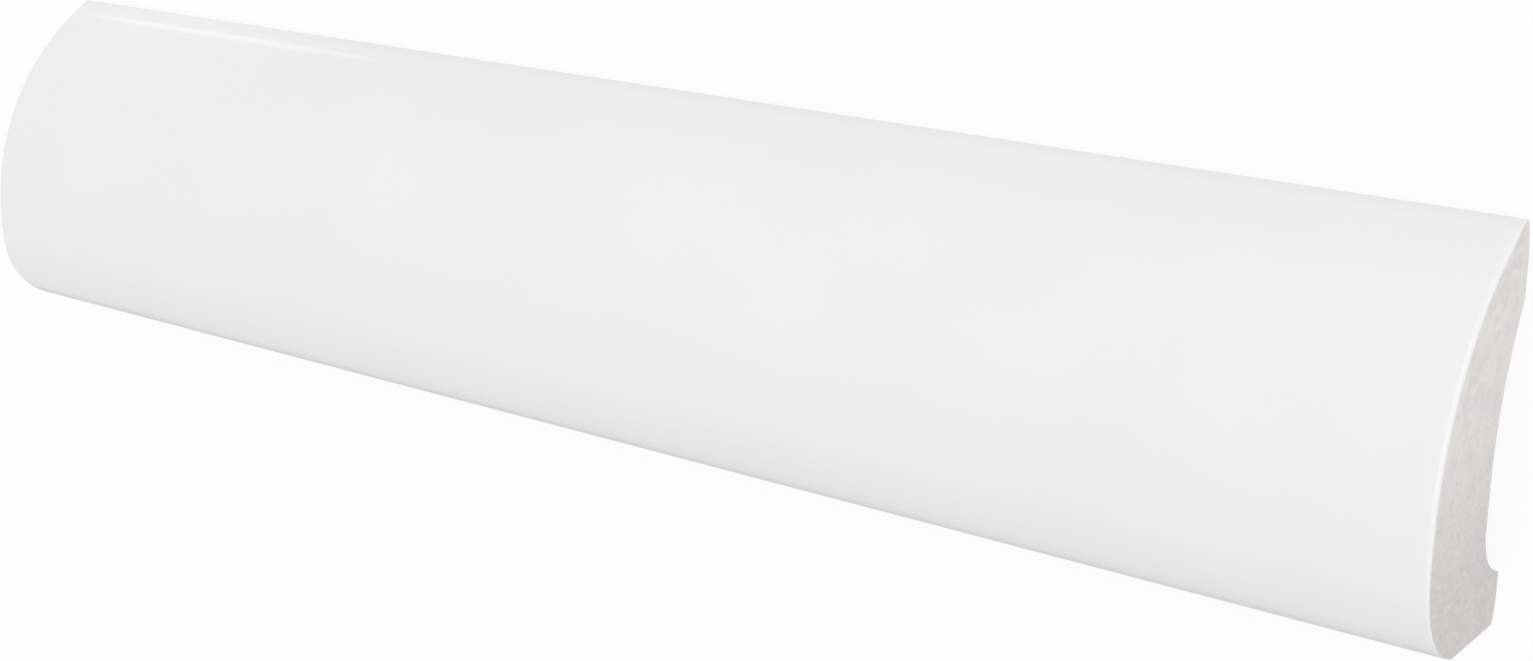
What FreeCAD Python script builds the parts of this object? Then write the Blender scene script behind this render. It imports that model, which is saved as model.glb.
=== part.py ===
import FreeCAD, Part
import math
import os

# A bullnose trim tile, fired as one piece.
# It has a bowed glazed face that rolls under to a flat base, and a hollow back.
# It lies on its back with the glazed face up, so the plane of the wall that it is made for is the floor.
# +X runs along the trim, +Y from the base to the ridge and +Z out of the wall.
# The origin is in the middle of the bounding box, in the wall plane.

# Driving dimensions, in millimetres and degrees.
# Depths are measured out of the wall plane, and heights from the base towards the ridge.
LENGTH = 150.0
HEIGHT = 30.0
DEPTH = 14.0

# Glazed face, from the ridge over the crest to the roll-under above the base
RIDGE_RADIUS = 0.5
RIDGE_SETBACK = 1.0
CREST_HEIGHT = 9.8
NOSE_RADIUS = 8.1
NOSE_SETBACK = 6.05
HEEL_RADIUS = 0.6
ARRIS_RADIUS = 0.35

# Back, from the ridge down: relief, upper land, hollow, ledge, foot land and foot relief
RELIEF_HEIGHT = 2.8
LIP_HEIGHT = 6.0
HOLLOW_DEPTH = 3.4
HOLLOW_FLAT = 3.2
LEDGE_RADIUS = 4.0
LEDGE_ANGLE = 26.5
FOOT_HEIGHT = 3.9
FOOT_RELIEF_HEIGHT = 1.6
FOOT_RELIEF_DEPTH = 0.45


def place(depth, height):
    """A point of the section, in the plane of the left end."""
    return FreeCAD.Vector(-LENGTH / 2, height - HEIGHT / 2, depth)


def crossing(centre_a, radius_a, centre_b, radius_b):
    """Where two circles cross, on the right of the way from the first centre to the second."""
    way = centre_b - centre_a
    gap = way.Length
    way.normalize()
    along = (radius_a**2 - radius_b**2 + gap**2) / (2 * gap)
    aside = math.sqrt(radius_a**2 - along**2)
    return centre_a + way * along + FreeCAD.Vector(0, way.z, -way.y) * aside


def on_circle(centre, radius, towards):
    """The point of a circle on the way from its centre through another point."""
    way = towards - centre
    way.normalize()
    return centre + way * radius


def line(start, end):
    return Part.LineSegment(start, end).toShape()


def arc(start, end, centre):
    """The shorter arc from start to end about a centre."""
    middle = on_circle(centre, start.distanceToPoint(centre), (start + end) * 0.5)
    return Part.Arc(start, middle, end).toShape()


def face_edges():
    """Ridge, face, nose and heel arcs in one smooth run, from behind the ridge to the front of the base."""
    land_top = place(0, HEIGHT - RELIEF_HEIGHT)
    ridge_centre = place(RIDGE_SETBACK, HEIGHT - RIDGE_RADIUS)
    relief_length = math.sqrt(land_top.distanceToPoint(ridge_centre) ** 2 - RIDGE_RADIUS**2)
    ridge_back = crossing(land_top, relief_length, ridge_centre, RIDGE_RADIUS)

    # The face arc stands furthest out at the crest and rolls smoothly into the ridge.
    bow = DEPTH - RIDGE_SETBACK
    rise = HEIGHT - RIDGE_RADIUS - CREST_HEIGHT
    face_radius = (bow**2 + rise**2 - RIDGE_RADIUS**2) / (2 * (bow - RIDGE_RADIUS))
    face_centre = place(DEPTH - face_radius, CREST_HEIGHT)
    face_top = on_circle(face_centre, face_radius, ridge_centre)

    # The nose arc leaves the face smoothly, and a small heel arc turns it into the base.
    base_front = place(DEPTH - NOSE_SETBACK, 0)
    heel_centre = place(DEPTH - NOSE_SETBACK, HEEL_RADIUS)
    nose_reach = NOSE_RADIUS - HEEL_RADIUS
    nose_centre = crossing(face_centre, face_radius - NOSE_RADIUS, heel_centre, nose_reach)
    nose_top = on_circle(face_centre, face_radius, nose_centre)
    nose_end = on_circle(nose_centre, NOSE_RADIUS, heel_centre)

    return [
        arc(ridge_back, face_top, ridge_centre),
        arc(face_top, nose_top, face_centre),
        arc(nose_top, nose_end, nose_centre),
        arc(nose_end, base_front, heel_centre),
    ]


def back_edges(base_front, ridge_back):
    """Base, foot, ledge, hollow, upper land and relief, from the front of the base round to the ridge."""
    foot_front = place(FOOT_RELIEF_DEPTH, 0)
    foot_bottom = place(0, FOOT_RELIEF_HEIGHT)
    foot_top = place(0, FOOT_HEIGHT)

    # A straight ledge leaves the foot, and an arc turns it parallel to the wall.
    slope = math.radians(LEDGE_ANGLE)
    corner = FOOT_HEIGHT + HOLLOW_DEPTH * math.tan(slope)
    run_in = LEDGE_RADIUS * math.tan((math.pi / 2 - slope) / 2)
    ledge_end = place(HOLLOW_DEPTH - run_in * math.cos(slope), corner - run_in * math.sin(slope))
    flat_bottom = place(HOLLOW_DEPTH, corner + run_in)
    ledge_centre = place(HOLLOW_DEPTH - LEDGE_RADIUS, corner + run_in)

    # A long arc leaves the flat smoothly and comes out at the upper land.
    flat_height = corner + run_in + HOLLOW_FLAT
    hollow_rise = HEIGHT - LIP_HEIGHT - flat_height
    hollow_radius = (hollow_rise**2 + HOLLOW_DEPTH**2) / (2 * HOLLOW_DEPTH)
    flat_top = place(HOLLOW_DEPTH, flat_height)
    hollow_centre = place(HOLLOW_DEPTH - hollow_radius, flat_height)
    land_bottom = place(0, HEIGHT - LIP_HEIGHT)
    land_top = place(0, HEIGHT - RELIEF_HEIGHT)

    return [
        line(base_front, foot_front),
        line(foot_front, foot_bottom),
        line(foot_bottom, foot_top),
        line(foot_top, ledge_end),
        arc(ledge_end, flat_bottom, ledge_centre),
        line(flat_bottom, flat_top),
        arc(flat_top, land_bottom, hollow_centre),
        line(land_bottom, land_top),
        line(land_top, ridge_back),
    ]


def end_arrises(solid, edges):
    """The solid's edges that copy these edges of the section at either end."""
    tolerance = 1e-6
    ends = (FreeCAD.Vector(), FreeCAD.Vector(LENGTH, 0, 0))
    middles = [edge.CenterOfMass + end for edge in edges for end in ends]
    return [edge for edge in solid.Edges if any(edge.CenterOfMass.isEqual(m, tolerance) for m in middles)]


def bullnose_tile():
    """The section drawn out along the trim, with the glazed arrises at both ends rounded."""
    glazed = face_edges()
    ridge_back = glazed[0].firstVertex(True).Point
    base_front = glazed[-1].lastVertex(True).Point
    section = Part.Face(Part.Wire(glazed + back_edges(base_front, ridge_back)))
    solid = section.extrude(FreeCAD.Vector(LENGTH, 0, 0))
    return solid.makeFillet(ARRIS_RADIUS, end_arrises(solid, glazed))


os.makedirs("parts", exist_ok=True)
bullnose_tile().exportStep(os.path.join("parts", "bullnose_tile.step"))
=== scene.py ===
import math
from collections import namedtuple
from types import SimpleNamespace

import bpy
from bpy.props import FloatProperty, FloatVectorProperty, IntProperty, PointerProperty
from bpy.types import Operator, Panel, PropertyGroup
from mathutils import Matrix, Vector


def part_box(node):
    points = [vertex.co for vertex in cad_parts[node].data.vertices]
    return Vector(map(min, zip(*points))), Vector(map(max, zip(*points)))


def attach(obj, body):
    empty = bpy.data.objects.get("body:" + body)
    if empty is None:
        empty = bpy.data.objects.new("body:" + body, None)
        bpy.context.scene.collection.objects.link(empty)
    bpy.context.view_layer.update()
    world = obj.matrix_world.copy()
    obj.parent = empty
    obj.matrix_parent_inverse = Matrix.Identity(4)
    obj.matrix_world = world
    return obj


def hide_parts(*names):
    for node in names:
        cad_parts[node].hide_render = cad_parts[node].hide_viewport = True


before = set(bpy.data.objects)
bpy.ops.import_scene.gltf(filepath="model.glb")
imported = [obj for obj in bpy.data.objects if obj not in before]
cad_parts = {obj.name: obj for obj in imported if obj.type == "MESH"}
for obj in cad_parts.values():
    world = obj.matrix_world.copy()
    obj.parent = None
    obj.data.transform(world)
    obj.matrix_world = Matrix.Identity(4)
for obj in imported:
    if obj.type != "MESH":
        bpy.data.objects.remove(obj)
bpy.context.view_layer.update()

bl_info = {
    "name": "Bullnose tile",
    "version": (1, 0, 0),
    "blender": (4, 5, 0),
    "location": "3D View > Sidebar > Tile",
    "description": "Builds a glazed bullnose trim tile from its section, and a plain stage for it",
    "category": "Add Mesh",
}

# The tile lies on its back in the frame of its solid, in metres.
# +X runs along the trim, +Y from the base to the ridge and +Z out of the wall.
NODE = "bullnose_tile"
MM = 0.001
ALONG = (1.0, 0.0, 0.0)
WHITE = (1.0, 1.0, 1.0)

# Steps of the mesh along the tile, round each end arris and through the clay
COLUMNS = 200
ARRIS_STEPS = 5
LAYERS = 24

# Steps along each piece of the section, as many on the back as on the face
HEEL_STEPS = 8
NOSE_STEPS = 26
FACE_STEPS = 48
RIDGE_STEPS = 8
ROWS = HEEL_STEPS + NOSE_STEPS + FACE_STEPS + RIDGE_STEPS
FOOT_RELIEF_STEPS = 6
FOOT_STEPS = 8
LEDGE_STEPS = 8
LEDGE_ARC_STEPS = 12
FLAT_STEPS = 8
HOLLOW_STEPS = 38
FOOT_ROWS = FOOT_RELIEF_STEPS + FOOT_STEPS + LEDGE_STEPS + LEDGE_ARC_STEPS
LAND_STEPS = ROWS - FOOT_ROWS - FLAT_STEPS - HOLLOW_STEPS

# Steps of the face, next to the ridge rounding, over which the end arris fades
ARRIS_FADE_STEPS = 4

# Share of the way through the clay past which a vertex is on the glazed face
TOP_LAYER = 1 - 0.5 / LAYERS

# Points of the section nearer than this are one, and edges that turn by less than the crease look smooth
MERGE_DISTANCE = 0.002 * MM
CREASE = math.radians(28)

# Flat layout of the sides on a square sheet, in metres: where each strip starts and how wide it is
SHEET = 0.155
SHEET_EDGE = 0.0015
FACE_STRIP = (0.0, 0.039)
BACK_STRIP = (0.043, 0.034)
BASE_STRIP = (0.080, 0.008)
RELIEF_STRIP = (0.091, 0.003)

# The two ends lie past the strips, side by side and enlarged
END_ROW = 0.097
END_STEP = 0.077
END_SCALE = 2.4

# Patterns of noise: size of the clouds, detail, seed, and how fast they change along each axis.
# A range gives where a mask starts to change and where it stops.
Pattern = namedtuple("Pattern", "size detail seed pace", defaults=[None])

# Relief of the glaze and of the bare clay
GLAZE_WAVES = Pattern(18 * MM, 1.0, 0)
DRAG_MARKS = Pattern(1.6 * MM, 2.0, 7, (0.03, 1.0, 1.0))
CLAY_LUMPS = Pattern(1.1 * MM, 2.0, 13)

# Faint clouds in the glaze
GLAZE_CLOUDS = Pattern(14 * MM, 3.0, 2)
GLAZE_CLOUD_RANGE = (0.3, 0.7)

# Heights above the base between which the grey painted shade under the nose fades out and the thin,
# rough glaze turns whole, and how far they wander
THIN_AND_SHADE_RANGE = (0.2 * MM, 3.0 * MM)
THIN_AND_SHADE_EDGE = Pattern(4 * MM, 2.0, 7)
THIN_AND_SHADE_WANDER = 0.3 * MM
THIN_ROUGHNESS = 0.5

# Distance from the top over which painted shade greys the glaze on the ridge, and how much
RIDGE_SHADE_WIDTH = 0.7 * MM
RIDGE_SHADE_SHARE = 0.12

# Specks in the glaze come in patches
SPECK_SPACING = 3.2 * MM
SPECK_RANGE = (0.02, 0.05)
SPECK_PATCHES = Pattern(4 * MM, 0.0, 5)
SPECK_PATCH_RANGE = (0.56, 0.64)
SPECK_SHARE = 0.35

# Gloss of the glaze and its peel
GLAZE_IOR = 1.5
GLAZE_SHEEN = Pattern(5 * MM, 2.0, 9)
GLAZE_SHEEN_SPREAD = 0.05
FINE_PEEL = Pattern(0.7 * MM, 2.0, 3)
BROAD_PEEL = Pattern(3.5 * MM, 1.0, 6)
BROAD_PEEL_WEIGHT = 3
PEEL_STRENGTH = 0.3
PEEL_DEPTH = 0.02 * MM

# Heights above the base between which the bare clay turns pale: its darker colour near the base is
# partly its own and partly painted shade
PALE_RANGE = (2 * MM, 20 * MM)
CLAY_CLOUDS = Pattern(1.9 * MM, 2.5, 4)
CLAY_CLOUD_RANGE = (0.48, 0.66)
WARM_SHARE = 0.55
GREY_SHARE = 0.4

# Dark and pale grains show more near the base
CLAY_GRAINS = Pattern(0.36 * MM, 1.5, 8, (1.0, 1.0, 0.8))
GRAIN_RANGE = (0.5, 0.85)
GRIT_SHARE = 0.34
CHALK_SHARE = 0.4
GRAIN_AT_BASE = 1.3
GRAIN_AT_RIDGE = 0.9

# Short scratches in the bare clay
SCRATCHES = Pattern(0.35 * MM, 1.0, 11, (1.0, 0.12, 1.0))
SCRATCH_RANGE = (0.7, 0.78)
SCRATCH_SHARE = 0.3

# Matt surface of the bare clay, and its fine bumps next to the grains
CLAY_SPECULAR = 0.3
CLAY_SHEEN = Pattern(1.5 * MM, 1.0, 14)
CLAY_SHEEN_SPREAD = 0.1
CLAY_BUMPS = Pattern(0.9 * MM, 2.0, 12)
CLAY_BUMP_WEIGHT = 0.8
SCRATCH_WEIGHT = 0.7
CLAY_BUMP_STRENGTH = 0.5
CLAY_BUMP_DEPTH = 0.06 * MM

# Floor and lamps, in metres
FLOOR_REACH = 3.0
KEY_PLACE = (1.27, 0.82, 1.47)
KEY_AIM = (0.0, 0.0, 0.0)
GLINT_PLACE = (-0.06, 0.0214, 0.00106)
GLINT_AIM = (-0.06, 0.0141, 0.0028)
GLINT_SIZE = (0.0434, 0.001)

# Rays that see a surface, and don't gather light for another one
SEEING_RAYS = ("Is Camera Ray", "Is Glossy Ray", "Is Transmission Ray")

# Camera: place in metres, turn in degrees, shift in widths of the picture and sensor in millimetres
CAMERA_PLACE = (0.128235, 0.056673, 0.165593)
CAMERA_TURN = (-15.7631, 37.856, -0.0571)
CAMERA_SHIFT = (0.0695, -0.0341)
CAMERA_NEAREST = 0.005
SENSOR_WIDTH = 36.0


def distance(name, millimetres, description):
    """A length property with its default in millimetres."""
    return FloatProperty(
        name=name,
        description=description,
        default=millimetres * MM,
        min=0.0,
        precision=5,
        subtype="DISTANCE",
        unit="LENGTH",
    )


def colour(name, value, description):
    """A colour property, in linear light."""
    return FloatVectorProperty(
        name=name,
        description=description,
        default=value,
        size=3,
        min=0.0,
        max=1.0,
        subtype="COLOR",
    )


def share(name, value, description):
    """A property from none to all of something."""
    return FloatProperty(
        name=name,
        description=description,
        default=value,
        min=0.0,
        max=1.0,
        subtype="FACTOR",
    )


def watts(name, value, description):
    """The power of a lamp."""
    return FloatProperty(
        name=name,
        description=description,
        default=value,
        min=0.0,
        precision=5,
        unit="POWER",
    )


def solid_size(axis):
    """The solid's own size along an axis, in millimetres."""
    low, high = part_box(NODE)
    return (high[axis] - low[axis]) / MM


class TileSection(PropertyGroup):
    """Sizes of the tile's section, depths from the wall and heights from the base."""

    length: distance("Length", solid_size(0), "Length of the tile along the trim")
    height: distance("Height", solid_size(1), "Height from the base to the ridge")
    depth: distance("Depth", solid_size(2), "Depth from the wall to the crest of the face")
    ridge_radius: distance("Ridge Radius", 0.5, "Rounding of the ridge")
    ridge_setback: distance("Ridge Setback", 1.0, "Depth of the middle of the ridge rounding")
    crest_height: distance("Crest Height", 9.8, "Height at which the face stands furthest out")
    nose_radius: distance("Nose Radius", 8.1, "Radius of the roll-under below the crest")
    nose_setback: distance("Nose Setback", 6.05, "Distance from the crest back to the front of the base")
    heel_radius: distance("Heel Radius", 0.6, "Rounding between the roll-under and the base")
    arris_radius: distance("Arris Radius", 0.35, "Rounding of the glazed edges at both ends")
    arris_least: share("Arris Least", 0.2, "Share of that rounding left at the base and the ridge")
    arris_rise: distance("Arris Rise", 11.76, "Height at which that rounding is whole")
    relief_height: distance("Relief Height", 2.8, "Height of the sloped relief behind the ridge")
    lip_height: distance("Lip Height", 6.0, "Distance from the ridge down to the hollow")
    hollow_depth: distance("Hollow Depth", 3.4, "Depth of the hollow back")
    hollow_flat: distance("Hollow Flat", 3.2, "Length of the hollow that is parallel to the wall")
    ledge_radius: distance("Ledge Radius", 4.0, "Rounding between the ledge and the hollow")
    ledge_angle: FloatProperty(
        name="Ledge Angle",
        description="Rise of the ledge over the foot",
        default=math.radians(26.5),
        subtype="ANGLE",
        unit="ROTATION",
    )
    foot_height: distance("Foot Height", 3.9, "Height of the foot's wall land")
    foot_relief_height: distance("Foot Relief Height", 1.6, "Height of the sloped relief of the foot")
    foot_relief_depth: distance("Foot Relief Depth", 0.45, "Depth of the sloped relief at the base")
    glaze_wave: distance("Glaze Wave", 0.02, "How far the glaze sinks in its slow waves")
    clay_drag: distance("Clay Drag", 0.05, "Depth of the long marks that the die drags in the back")
    drag_fade: distance("Drag Fade", 2.0, "Distance from each end at which those marks are whole")
    clay_grain: distance("Clay Grain", 0.02, "Depth of the coarse grain of the bare clay")
    seed: IntProperty(
        name="Seed",
        description="Picks the pattern of the waves and marks",
        default=4,
        min=0,
    )


class TileFinish(PropertyGroup):
    """Colours and surfaces of the glaze and the bare clay."""

    glaze: colour("Glaze", (0.86, 0.862, 0.861), "Colour of the white glaze")
    glaze_cloud: colour("Glaze Cloud", (0.848, 0.851, 0.85), "Colour of the faint clouds in the glaze")
    # Painted shade: the grey that the glaze turns to under the nose and at the top of the ridge
    glaze_painted_shade: colour("Thin Glaze", (0.70, 0.695, 0.685), "Colour of the thin glaze under the nose")
    glaze_speck: colour("Glaze Speck", (0.70, 0.69, 0.67), "Colour of the few specks in the glaze")
    glaze_roughness: share("Glaze Roughness", 0.07, "Roughness of the glaze")
    clay_pale: colour("Pale Clay", (0.787, 0.761, 0.735), "Colour of the bare clay near the ridge")
    # Near the base this clay colour is partly painted shade
    clay_deep: colour("Deep Clay", (0.64, 0.603, 0.583), "Colour of the bare clay near the base")
    clay_warm: colour("Warm Clay", (0.70, 0.65, 0.625), "Colour of the warm clouds in the bare clay")
    clay_grey: colour("Grey Clay", (0.62, 0.62, 0.59), "Colour of the grey clouds in the bare clay")
    clay_grit: colour("Grit", (0.46, 0.435, 0.41), "Colour of the dark grains in the bare clay")
    clay_chalk: colour("Chalk", (0.82, 0.81, 0.79), "Colour of the pale grains and the scratches")
    clay_roughness: share("Clay Roughness", 0.85, "Roughness of the bare clay")


class TileStage(PropertyGroup):
    """Light, floor and camera."""

    fill_level: share("Fill Level", 0.785, "Brightness of the even light from all round")
    key_power: watts("Key Power", 17.5, "Power of the large soft lamp")
    key_size: distance("Key Size", 2830.0, "Diameter of the large soft lamp")
    glint_power: watts("Glint Power", 0.00008, "Power of the low strip that draws a glint on the ridge")
    floor: colour("Floor", (0.8, 0.8, 0.8), "Colour of the floor")
    floor_white: share("Floor White", 0.92, "Share of plain white in the floor as it is seen")
    lens: FloatProperty(
        name="Lens",
        description="Focal length of the camera, in millimetres",
        default=57.983,
        min=1.0,
        unit="CAMERA",
    )


class Graph:
    """A node tree that is written as Python expressions."""

    def __init__(self, tree):
        self.tree = tree

    @staticmethod
    def pick(sockets, name):
        """The socket at that place, or the one in use that has that name."""
        if isinstance(name, int):
            return sockets[name]
        return next(socket for socket in sockets if socket.name == name and socket.enabled)

    def feed(self, socket, value):
        """Links a wire to a socket or sets its value: colours are opaque, one number fills a vector."""
        if isinstance(value, Wire):
            self.tree.links.new(value.socket, socket)
        elif socket.type == "RGBA":
            socket.default_value = (*value, 1.0)
        elif socket.type == "VECTOR" and isinstance(value, (int, float)):
            socket.default_value = (value, value, value)
        else:
            socket.default_value = value

    def node(self, kind, settings=None, sockets=None, output=0):
        """Adds a node, with its settings first and then its sockets, and gives one of its outputs."""
        made = self.tree.nodes.new(kind)
        for name, value in (settings or {}).items():
            setattr(made, name, value)
        for name, value in (sockets or {}).items():
            socket = self.pick(made.inputs, name)
            for entry in value if isinstance(value, list) else [value]:
                self.feed(socket, entry)
        return Wire(self, self.pick(made.outputs, output)) if made.outputs else None

    def vector(self, x=0.0, y=0.0, z=0.0):
        """A vector from its parts."""
        return self.node("ShaderNodeCombineXYZ", None, {"X": x, "Y": y, "Z": z})

    def blend(self, factor, first, second):
        """Two colours mixed: the first at 0, the second at 1."""
        colours = {"Factor": factor, "A": first, "B": second}
        return self.node("ShaderNodeMix", {"data_type": "RGBA"}, colours, "Result")

    def noise(self, where, pattern, seed=0):
        """Clouds of a pattern, from 0 to 1."""
        clouds = {
            "Vector": where * pattern.pace if pattern.pace else where,
            "W": seed + pattern.seed,
            "Scale": 1 / pattern.size,
            "Detail": pattern.detail,
        }
        return self.node("ShaderNodeTexNoise", {"noise_dimensions": "4D"}, clouds, "Fac")


class Wire:
    """An output socket. Arithmetic on it adds Math nodes, or Vector Math nodes for vectors."""

    def __init__(self, graph, socket):
        self.graph = graph
        self.socket = socket

    @staticmethod
    def is_vector(term):
        """Whether a term is three numbers, or a wire that carries them."""
        return isinstance(term, tuple) or isinstance(term, Wire) and term.socket.type == "VECTOR"

    def maths(self, operation, *terms):
        """An operation on wires and numbers."""
        kind = "ShaderNodeVectorMath" if any(map(self.is_vector, terms)) else "ShaderNodeMath"
        return self.graph.node(kind, {"operation": operation}, dict(enumerate(terms)))

    def __add__(self, other):
        return self.maths("ADD", self, other)

    __radd__ = __add__

    def __sub__(self, other):
        return self.maths("SUBTRACT", self, other)

    def __rsub__(self, other):
        return self.maths("SUBTRACT", other, self)

    def __mul__(self, other):
        return self.maths("MULTIPLY", self, other)

    __rmul__ = __mul__

    def __truediv__(self, other):
        return self.maths("DIVIDE", self, other)

    def __rtruediv__(self, other):
        return self.maths("DIVIDE", other, self)

    def __pow__(self, other):
        return self.maths("POWER", self, other)

    def __gt__(self, other):
        return self.maths("GREATER_THAN", self, other)

    def __lt__(self, other):
        return self.maths("LESS_THAN", self, other)

    def of(self, operation, *others):
        """A function of this wire, such as its sine or the lower of it and another."""
        return self.maths(operation, self, *others)

    def length(self):
        """The length of a vector."""
        return self.graph.node("ShaderNodeVectorMath", {"operation": "LENGTH"}, {0: self}, "Value")

    def part(self, axis):
        """The part of a vector along an axis."""
        return self.graph.node("ShaderNodeSeparateXYZ", None, {0: self}, axis)

    def step(self, low, high):
        """A smooth step from 0 at low to 1 at high."""
        return self.graph.node(
            "ShaderNodeMapRange",
            {"interpolation_type": "SMOOTHSTEP"},
            {"Value": self, "From Min": low, "From Max": high},
        )


def place(graph, size, depth, height):
    """A point of the section."""
    return graph.vector(y=height - size.height / 2, z=depth)


def crossing(centre_a, radius_a, centre_b, radius_b):
    """Where two circles cross, on the right of the way from the first centre to the second."""
    way = centre_b - centre_a
    gap = way.length()
    unit = way.of("NORMALIZE")
    along = (radius_a**2 - radius_b**2 + gap**2) / (2 * gap)
    aside = (radius_a**2 - along**2).of("SQRT")
    return centre_a + unit * along + unit.of("CROSS_PRODUCT", ALONG) * aside


def on_circle(centre, radius, towards):
    """The point of a circle on the way from its centre through another point."""
    return centre + (towards - centre).of("NORMALIZE") * radius


def arc(graph, start, end, centre, steps):
    """The shorter arc from start to end about a centre."""
    middle = on_circle(centre, (start - centre).length(), (start + end) * 0.5)
    points = {"Resolution": steps + 1, "Start": start, "Middle": middle, "End": end}
    return graph.node("GeometryNodeCurveArc", {"mode": "POINTS"}, points)


def line(graph, start, end, steps):
    """A straight run from start to end."""
    ends = {"Start": start, "End": end}
    straight = graph.node("GeometryNodeCurvePrimitiveLine", {"mode": "POINTS"}, ends)
    points = {"Curve": straight, "Count": steps + 1}
    return graph.node("GeometryNodeResampleCurve", {"mode": "COUNT"}, points)


def chain(graph, pieces):
    """Pieces of the section joined end to end, as one row of vertices from the base to the ridge."""
    # Join Geometry starts with the piece that is linked last.
    joined = graph.node("GeometryNodeJoinGeometry", None, {"Geometry": pieces[::-1]})
    edges = graph.node("GeometryNodeCurveToMesh", None, {"Curve": joined})
    touching = {"Geometry": edges, "Distance": MERGE_DISTANCE}
    return graph.node("GeometryNodeMergeByDistance", None, touching)


def face_run(graph, size):
    """Heel, nose, face and ridge arcs in one smooth run."""
    land_top = place(graph, size, 0.0, size.height - size.relief_height)
    ridge_centre = place(graph, size, size.ridge_setback, size.height - size.ridge_radius)
    relief_length = ((land_top - ridge_centre).length() ** 2 - size.ridge_radius**2).of("SQRT")
    ridge_back = crossing(land_top, relief_length, ridge_centre, size.ridge_radius)

    # The face arc stands furthest out at the crest and rolls smoothly into the ridge.
    bow = size.depth - size.ridge_setback
    rise = size.height - size.ridge_radius - size.crest_height
    face_radius = (bow**2 + rise**2 - size.ridge_radius**2) / (2 * (bow - size.ridge_radius))
    face_centre = place(graph, size, size.depth - face_radius, size.crest_height)
    face_top = on_circle(face_centre, face_radius, ridge_centre)

    # The nose arc leaves the face smoothly, and a small heel arc turns it into the base.
    base_front = place(graph, size, size.depth - size.nose_setback, 0.0)
    heel_centre = place(graph, size, size.depth - size.nose_setback, size.heel_radius)
    nose_reach = size.nose_radius - size.heel_radius
    nose_centre = crossing(face_centre, face_radius - size.nose_radius, heel_centre, nose_reach)
    nose_top = on_circle(face_centre, face_radius, nose_centre)
    nose_end = on_circle(nose_centre, size.nose_radius, heel_centre)

    return chain(
        graph,
        [
            arc(graph, base_front, nose_end, heel_centre, HEEL_STEPS),
            arc(graph, nose_end, nose_top, nose_centre, NOSE_STEPS),
            arc(graph, nose_top, face_top, face_centre, FACE_STEPS),
            arc(graph, face_top, ridge_back, ridge_centre, RIDGE_STEPS),
        ],
    )


def back_run(graph, size):
    """Foot, ledge, hollow and upper land."""
    foot_front = place(graph, size, size.foot_relief_depth, 0.0)
    foot_bottom = place(graph, size, 0.0, size.foot_relief_height)
    foot_top = place(graph, size, 0.0, size.foot_height)

    # A straight ledge leaves the foot, and an arc turns it parallel to the wall.
    slope = size.ledge_angle
    corner = size.foot_height + size.hollow_depth * slope.of("TANGENT")
    run_in = size.ledge_radius * ((math.pi / 2 - slope) / 2).of("TANGENT")
    ledge_depth = size.hollow_depth - run_in * slope.of("COSINE")
    ledge_end = place(graph, size, ledge_depth, corner - run_in * slope.of("SINE"))
    flat_bottom = place(graph, size, size.hollow_depth, corner + run_in)
    ledge_centre = place(graph, size, size.hollow_depth - size.ledge_radius, corner + run_in)

    # A long arc leaves the flat smoothly and comes out at the upper land.
    flat_height = corner + run_in + size.hollow_flat
    hollow_rise = size.height - size.lip_height - flat_height
    hollow_radius = (hollow_rise**2 + size.hollow_depth**2) / (2 * size.hollow_depth)
    flat_top = place(graph, size, size.hollow_depth, flat_height)
    hollow_centre = place(graph, size, size.hollow_depth - hollow_radius, flat_height)
    land_bottom = place(graph, size, 0.0, size.height - size.lip_height)
    land_top = place(graph, size, 0.0, size.height - size.relief_height)

    return chain(
        graph,
        [
            line(graph, foot_front, foot_bottom, FOOT_RELIEF_STEPS),
            line(graph, foot_bottom, foot_top, FOOT_STEPS),
            line(graph, foot_top, ledge_end, LEDGE_STEPS),
            arc(graph, ledge_end, flat_bottom, ledge_centre, LEDGE_ARC_STEPS),
            line(graph, flat_bottom, flat_top, FLAT_STEPS),
            arc(graph, flat_top, land_bottom, hollow_centre, HOLLOW_STEPS),
            line(graph, land_bottom, land_top, LAND_STEPS),
        ],
    )


def store(graph, geometry, name, kind, domain, value):
    """Keeps a value on the mesh under a name."""
    settings = {"data_type": kind, "domain": domain}
    entry = {"Geometry": geometry, "Name": name, "Value": value}
    return graph.node("GeometryNodeStoreNamedAttribute", settings, entry)


def stored(graph, name):
    """A vector that was kept on the mesh under a name."""
    settings = {"data_type": "FLOAT_VECTOR"}
    return graph.node("GeometryNodeInputNamedAttribute", settings, {"Name": name}, "Attribute")


def facing(graph, axis, way):
    """1 on the side that faced that way along an axis before the box was wrapped, else 0."""
    return stored(graph, "side").part(axis) * way > 0.5


def sampled(graph, run, row):
    """The point of a run of the section that is in a row."""
    whole = graph.node("FunctionNodeFloatToInt", {"rounding_mode": "ROUND"}, {"Float": row})
    settings = {"data_type": "FLOAT_VECTOR", "clamp": True}
    spot = {"Geometry": run, "Value": graph.node("GeometryNodeInputPosition"), "Index": whole}
    return graph.node("GeometryNodeSampleIndex", settings, spot)


def arris_rounding(size, height, row):
    """Radius of the end arris in a row, which is less towards the base and the ridge."""
    above_base = height.step(0.0, size.arris_rise)
    below_ridge = (ROWS - row).step(RIDGE_STEPS, RIDGE_STEPS + ARRIS_FADE_STEPS)
    return size.arris_radius * (size.arris_least + (1 - size.arris_least) * above_base * below_ridge)


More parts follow.
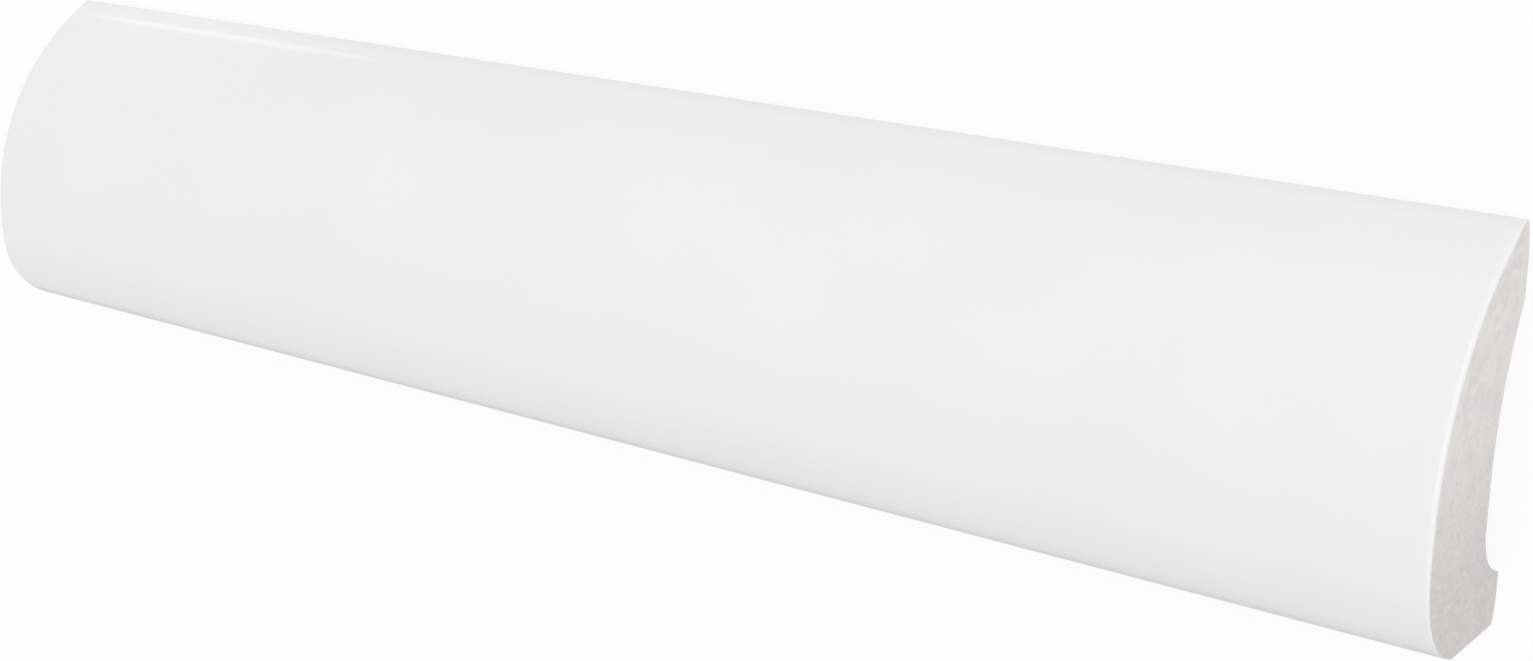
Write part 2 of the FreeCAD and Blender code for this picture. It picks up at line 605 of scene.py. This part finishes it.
def wrapped_box(graph, size, face, back):
    """A box of vertices wrapped on the section: its top on the face run, its bottom on the back run."""
    # The box has sides of 1 about the origin, so wrap runs from 0 to 1 along each axis.
    position = graph.node("GeometryNodeInputPosition")
    cells = {
        "Size": (1.0, 1.0, 1.0),
        "Vertices X": COLUMNS + 1,
        "Vertices Y": ROWS + 1,
        "Vertices Z": LAYERS + 1,
    }
    box = graph.node("GeometryNodeMeshCube", None, cells)
    box = store(graph, box, "side", "FLOAT_VECTOR", "FACE", graph.node("GeometryNodeInputNormal"))
    box = store(graph, box, "wrap", "FLOAT_VECTOR", "POINT", position + 0.5)
    row = stored(graph, "wrap").part("Y") * ROWS
    through = stored(graph, "wrap").part("Z")
    on_face = sampled(graph, face, row)
    on_back = sampled(graph, back, row)

    # The last columns at each end turn round the arris on the face, and stay even on the back.
    arris = arris_rounding(size, on_face.part("Y") + size.height / 2, row)
    across = position.part("X")
    reach = across.of("ABSOLUTE") * COLUMNS
    straight = COLUMNS / 2 - ARRIS_STEPS
    turn = (reach - straight).of("MAXIMUM", 0.0) / ARRIS_STEPS * (math.pi / 2)
    run = (reach / straight).of("MINIMUM", 1.0)
    end = size.length / 2 - arris
    even = across * size.length
    rounded = across.of("SIGN") * (end * run + arris * turn.of("SINE"))
    along = even + (rounded - even) * through

    # The face sinks round the arris.
    slant = sampled(graph, face, row + 1) - sampled(graph, face, row - 1)
    outward = graph.vector(*ALONG).of("CROSS_PRODUCT", slant).of("NORMALIZE")
    sink = arris * (1 - turn.of("COSINE"))
    sunk_face = on_face - outward * (sink * through)
    point = on_back + (sunk_face - on_back) * through + graph.vector(x=along)
    return graph.node("GeometryNodeSetPosition", None, {"Geometry": box, "Position": point})


def with_relief(graph, size, tile):
    """Slow waves in the glaze, and drag marks and grain in the clay, all sunk into the surface."""
    position = graph.node("GeometryNodeInputPosition")
    normal = graph.node("GeometryNodeInputNormal")
    glazed = stored(graph, "wrap").part("Z") > TOP_LAYER
    inside = (size.length / 2 - position.part("X").of("ABSOLUTE")).step(0.0, size.drag_fade)
    wave = size.glaze_wave * graph.noise(position, GLAZE_WAVES, size.seed)
    drag = size.clay_drag * graph.noise(position, DRAG_MARKS, size.seed) * inside
    grain = size.clay_grain * graph.noise(position, CLAY_LUMPS, size.seed)
    sunk = glazed * wave + (1 - glazed) * (grain + drag)
    return graph.node("GeometryNodeSetPosition", None, {"Geometry": tile, "Offset": normal * (0 - sunk)})


def laid_out(graph, size, tile):
    """A flat layout of the six sides, so that patterns can be baked with no seam across a side."""
    position = graph.node("GeometryNodeInputPosition")
    along = position.part("X") + size.length / 2
    up = position.part("Y") + size.height / 2
    out = position.part("Z") * END_SCALE + END_ROW
    row = stored(graph, "wrap").part("Y")
    through = stored(graph, "wrap").part("Z")

    # The back, the relief and the left end run the other way, so that no side is mirrored.
    strips = (
        ("Z", 1, row, FACE_STRIP),
        ("Z", -1, 1 - row, BACK_STRIP),
        ("Y", -1, through, BASE_STRIP),
        ("Y", 1, 1 - through, RELIEF_STRIP),
    )
    right_end = graph.vector(x=up * END_SCALE + END_STEP, y=out)
    left_end = graph.vector(x=(size.height - up) * END_SCALE, y=out)
    spot = facing(graph, "X", 1) * right_end + facing(graph, "X", -1) * left_end
    for axis, way, across, (start, width) in strips:
        spot = spot + facing(graph, axis, way) * graph.vector(x=along, y=across * width + start)
    return store(graph, tile, "OFBake", "FLOAT2", "CORNER", (spot + SHEET_EDGE) / SHEET)


def shown(settings):
    """The properties of a group that a user can change."""
    return [p for p in settings.bl_rna.properties if p.identifier not in ("rna_type", "name")]


def add_inputs(tree, section):
    """Gives the tree a named input for each size of the section and for each finish."""
    sockets = {}
    for prop in shown(section):
        kind = "NodeSocketInt" if prop.type == "INT" else "NodeSocketFloat"
        socket = tree.interface.new_socket(
            prop.name, description=prop.description, in_out="INPUT", socket_type=kind
        )
        if prop.subtype in ("DISTANCE", "ANGLE", "FACTOR"):
            socket.subtype = prop.subtype
        socket.default_value = getattr(section, prop.identifier)
        sockets[prop.identifier] = socket
    for name in ("Glaze", "Clay"):
        socket = tree.interface.new_socket(name, in_out="INPUT", socket_type="NodeSocketMaterial")
        sockets[name.lower()] = socket
    return {name: socket.identifier for name, socket in sockets.items()}


def tile_tree(section):
    """The node tree that draws the section, wraps the mesh on it and dresses it, and its inputs."""
    tree = bpy.data.node_groups.new("Bullnose tile", "GeometryNodeTree")
    tree.is_modifier = True
    inputs = add_inputs(tree, section)
    tree.interface.new_socket("Tile", in_out="OUTPUT", socket_type="NodeSocketGeometry")
    graph = Graph(tree)
    given = {socket.identifier: socket for socket in tree.nodes.new("NodeGroupInput").outputs}
    size = SimpleNamespace(**{name: Wire(graph, given[key]) for name, key in inputs.items()})

    tile = wrapped_box(graph, size, face_run(graph, size), back_run(graph, size))
    tile = with_relief(graph, size, tile)
    tile = laid_out(graph, size, tile)
    soft = graph.node("GeometryNodeInputMeshEdgeAngle", output="Unsigned Angle") < CREASE
    for domain, smooth in (("FACE", True), ("EDGE", soft)):
        shading = {"Geometry": tile, "Shade Smooth": smooth}
        tile = graph.node("GeometryNodeSetShadeSmooth", {"domain": domain}, shading)
    tile = graph.node("GeometryNodeRealizeInstances", None, {"Geometry": tile})
    for selection, material in ((True, size.clay), (facing(graph, "Z", 1), size.glaze)):
        finish = {"Geometry": tile, "Selection": selection, "Material": material}
        tile = graph.node("GeometryNodeSetMaterial", None, finish)
    graph.node("NodeGroupOutput", None, {"Tile": tile})
    return tree, inputs


def new_material(name):
    """An empty material and its graph."""
    material = bpy.data.materials.new(name)
    material.use_nodes = True
    material.node_tree.nodes.clear()
    return material, Graph(material.node_tree)


def bumps(graph, strength, depth, relief):
    """Normals that follow a fine relief."""
    sockets = {"Strength": strength, "Distance": depth, "Height": relief}
    return graph.node("ShaderNodeBump", None, sockets)


def glaze_material(look, section):
    """White gloss glaze: faint clouds, few specks, a fine peel, rougher where it runs thin under the
    nose, and grey painted shade there and along the top of the ridge.
    """
    material, graph = new_material("White glaze")
    where = graph.node("ShaderNodeTexCoord", output="Object")
    cloud = graph.noise(where, GLAZE_CLOUDS).step(*GLAZE_CLOUD_RANGE)
    base = graph.blend(cloud, look.glaze_cloud, look.glaze)

    # Painted shade: the glaze turns grey towards the base under the roll-under and at the very top of
    # the ridge. Under the roll-under it also turns rough, as thin glaze does.
    wander = THIN_AND_SHADE_WANDER * (graph.noise(where, THIN_AND_SHADE_EDGE) - 0.5)
    height = where.part("Y") + section.height / 2 + wander
    under = 1 - height.step(*THIN_AND_SHADE_RANGE)
    ridge = height.step(section.height - RIDGE_SHADE_WIDTH, section.height) * RIDGE_SHADE_SHARE
    base = graph.blend(under.of("MAXIMUM", ridge), base, look.glaze_painted_shade)

    spacing = {"Vector": where, "Scale": 1 / SPECK_SPACING}
    from_speck = graph.node("ShaderNodeTexVoronoi", None, spacing, "Distance")
    patch = graph.noise(where, SPECK_PATCHES).step(*SPECK_PATCH_RANGE)
    speck = (1 - from_speck.step(*SPECK_RANGE)) * patch * SPECK_SHARE
    base = graph.blend(speck, base, look.glaze_speck)

    sheen = GLAZE_SHEEN_SPREAD * graph.noise(where, GLAZE_SHEEN)
    peel = graph.noise(where, FINE_PEEL) + BROAD_PEEL_WEIGHT * graph.noise(where, BROAD_PEEL)
    surface = {
        "Base Color": base,
        "Roughness": look.glaze_roughness + sheen + THIN_ROUGHNESS * under,
        "IOR": GLAZE_IOR,
        "Normal": bumps(graph, PEEL_STRENGTH, PEEL_DEPTH, peel),
    }
    shader = graph.node("ShaderNodeBsdfPrincipled", None, surface)
    graph.node("ShaderNodeOutputMaterial", None, {"Surface": shader})
    return material


def clay_material(look, section):
    """Bare fired clay, darker towards the base partly as painted shade: warm and grey clouds, pale and
    dark grains, and short scratches.
    """
    material, graph = new_material("Bare clay")
    where = graph.node("ShaderNodeTexCoord", output="Object")
    pale = (where.part("Y") + section.height / 2).step(*PALE_RANGE)
    cloud = graph.noise(where, CLAY_CLOUDS)
    grain = graph.noise(where, CLAY_GRAINS)
    coarse = GRAIN_AT_BASE + (GRAIN_AT_RIDGE - GRAIN_AT_BASE) * pale
    scratch = graph.noise(where, SCRATCHES).step(*SCRATCH_RANGE)
    layers = (
        (cloud.step(*CLAY_CLOUD_RANGE) * WARM_SHARE, look.clay_warm),
        ((1 - cloud).step(*CLAY_CLOUD_RANGE) * GREY_SHARE, look.clay_grey),
        (grain.step(*GRAIN_RANGE) * GRIT_SHARE * coarse, look.clay_grit),
        ((1 - grain).step(*GRAIN_RANGE) * CHALK_SHARE * coarse, look.clay_chalk),
        (scratch * SCRATCH_SHARE, look.clay_chalk),
    )
    # Darker towards the base, partly the clay's own colour and partly painted shade
    base = graph.blend(pale, look.clay_deep, look.clay_pale)
    for mask, tone in layers:
        base = graph.blend(mask, base, tone)

    sheen = CLAY_SHEEN_SPREAD * (graph.noise(where, CLAY_SHEEN) - 0.5)
    relief = grain + CLAY_BUMP_WEIGHT * graph.noise(where, CLAY_BUMPS) - SCRATCH_WEIGHT * scratch
    surface = {
        "Base Color": base,
        "Roughness": look.clay_roughness + sheen,
        "Specular IOR Level": CLAY_SPECULAR,
        "Normal": bumps(graph, CLAY_BUMP_STRENGTH, CLAY_BUMP_DEPTH, relief),
    }
    shader = graph.node("ShaderNodeBsdfPrincipled", None, surface)
    graph.node("ShaderNodeOutputMaterial", None, {"Surface": shader})
    return material


class TILE_OT_make_tile(Operator):
    """Makes the tile from its section and puts it in the place of its solid"""

    bl_idname = "tile.make_tile"
    bl_label = "Make Tile"
    bl_options = {"REGISTER", "UNDO"}

    def execute(self, context):
        section = context.scene.tile_section
        look = context.scene.tile_finish
        finishes = {"glaze": glaze_material(look, section), "clay": clay_material(look, section)}
        tree, inputs = tile_tree(section)
        blank = bpy.data.meshes.new("blank")
        tile = bpy.data.objects.new("glazed_bullnose_tile", blank)
        context.scene.collection.objects.link(tile)
        modifier = tile.modifiers.new("Section along the trim", "NODES")
        modifier.node_group = tree
        for name, identifier in inputs.items():
            modifier[identifier] = finishes[name] if name in finishes else getattr(section, name)
        shaped = tile.evaluated_get(context.evaluated_depsgraph_get())
        mesh = bpy.data.meshes.new_from_object(shaped)
        tile.modifiers.remove(modifier)
        tile.data = mesh
        bpy.data.meshes.remove(blank)
        if not mesh.polygons:
            raise RuntimeError("the section gave no tile: two of its arcs don't meet")

        # Set Material leaves the bare mesh's empty slot in front of its own.
        mesh.materials.pop(index=0)

        # The values that the tree kept on the mesh are done with.
        for name in ("side", "wrap"):
            mesh.attributes.remove(mesh.attributes[name])
        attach(tile, "root")
        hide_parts(NODE)
        return {"FINISHED"}


def seen_directly(graph):
    """1 where a camera, mirrored or clear ray arrives, and 0 for light that scatters."""
    rays = [graph.node("ShaderNodeLightPath", output=name) for name in SEEING_RAYS]
    return sum(rays).of("MINIMUM", 1.0)


def floor_material(stage):
    """Pale floor that looks white and still takes the tile's shadow."""
    material, graph = new_material("Pale floor")
    diffuse = graph.node("ShaderNodeBsdfDiffuse", None, {"Color": stage.floor})
    white = graph.node("ShaderNodeEmission", None, {"Color": WHITE, "Strength": 1.0})
    factor = seen_directly(graph) * stage.floor_white
    shader = graph.node("ShaderNodeMixShader", None, {0: factor, 1: diffuse, 2: white})
    graph.node("ShaderNodeOutputMaterial", None, {"Surface": shader})
    return material


def add_floor(stage):
    """A square floor in the wall plane, on which the tile lies."""
    reach = FLOOR_REACH
    corners = [(-reach, -reach, 0.0), (reach, -reach, 0.0), (reach, reach, 0.0), (-reach, reach, 0.0)]
    mesh = bpy.data.meshes.new("floor")
    mesh.from_pydata(corners, [], [(0, 1, 2, 3)])
    mesh.materials.append(floor_material(stage))
    floor = bpy.data.objects.new("floor", mesh)
    bpy.context.scene.collection.objects.link(floor)


def add_world(stage):
    """Even light from all round, which is seen as white."""
    world = bpy.data.worlds.new("Even light")
    world.use_nodes = True
    world.node_tree.nodes.clear()
    graph = Graph(world.node_tree)
    level = stage.fill_level + seen_directly(graph) * (1 - stage.fill_level)
    light = graph.node("ShaderNodeBackground", None, {"Color": WHITE, "Strength": level})
    graph.node("ShaderNodeOutputWorld", None, {"Surface": light})
    bpy.context.scene.world = world


def add_lamp(name, shape, size, power, place_at, aim_at):
    """A flat lamp that the camera doesn't see."""
    lamp = bpy.data.lights.new(name, "AREA")
    lamp.shape = shape
    lamp.size, lamp.size_y = size
    lamp.energy = power
    holder = bpy.data.objects.new(name, lamp)
    holder.location = place_at
    way = Vector(aim_at) - Vector(place_at)
    holder.rotation_euler = way.to_track_quat("-Z", "Y").to_euler()
    holder.visible_camera = False
    bpy.context.scene.collection.objects.link(holder)
    return lamp


def add_lamps(stage):
    """A large soft lamp, and a low strip behind the ridge that only mirrors in the glaze."""
    key_size = (stage.key_size, stage.key_size)
    add_lamp("key", "DISK", key_size, stage.key_power, KEY_PLACE, KEY_AIM)
    glint = add_lamp("glint", "ELLIPSE", GLINT_SIZE, stage.glint_power, GLINT_PLACE, GLINT_AIM)
    glint.diffuse_factor = 0.0


def add_camera(stage):
    """The camera, which looks over the face at the right end."""
    lens = bpy.data.cameras.new("camera")
    lens.sensor_width = SENSOR_WIDTH
    lens.lens = stage.lens
    lens.shift_x, lens.shift_y = CAMERA_SHIFT
    lens.clip_start = CAMERA_NEAREST
    camera = bpy.data.objects.new("camera", lens)
    camera.location = CAMERA_PLACE
    camera.rotation_euler = [math.radians(angle) for angle in CAMERA_TURN]
    bpy.context.scene.collection.objects.link(camera)
    bpy.context.scene.camera = camera


class TILE_OT_make_stage(Operator):
    """Makes the floor, the soft light and the camera"""

    bl_idname = "tile.make_stage"
    bl_label = "Make Stage"
    bl_options = {"REGISTER", "UNDO"}

    def execute(self, context):
        stage = context.scene.tile_stage
        context.scene.view_settings.view_transform = "Standard"
        add_floor(stage)
        add_world(stage)
        add_lamps(stage)
        add_camera(stage)
        return {"FINISHED"}


class TILE_PT_panel(Panel):
    """Sizes, finish and stage of the tile"""

    bl_idname = "TILE_PT_panel"
    bl_label = "Bullnose Tile"
    bl_space_type = "VIEW_3D"
    bl_region_type = "UI"
    bl_category = "Tile"

    def draw(self, context):
        scene = context.scene
        for settings, operator in (
            (scene.tile_section, None),
            (scene.tile_finish, TILE_OT_make_tile.bl_idname),
            (scene.tile_stage, TILE_OT_make_stage.bl_idname),
        ):
            column = self.layout.column()
            for prop in shown(settings):
                column.prop(settings, prop.identifier)
            if operator:
                column.operator(operator)


CLASSES = (TileSection, TileFinish, TileStage, TILE_OT_make_tile, TILE_OT_make_stage, TILE_PT_panel)


def register():
    for cls in CLASSES:
        bpy.utils.register_class(cls)
    bpy.types.Scene.tile_section = PointerProperty(type=TileSection)
    bpy.types.Scene.tile_finish = PointerProperty(type=TileFinish)
    bpy.types.Scene.tile_stage = PointerProperty(type=TileStage)


def unregister():
    del bpy.types.Scene.tile_stage
    del bpy.types.Scene.tile_finish
    del bpy.types.Scene.tile_section
    for cls in reversed(CLASSES):
        bpy.utils.unregister_class(cls)


def main():
    """Makes the tile and its stage."""
    register()
    bpy.ops.tile.make_tile()
    bpy.ops.tile.make_stage()


if __name__ == "__main__":
    main()
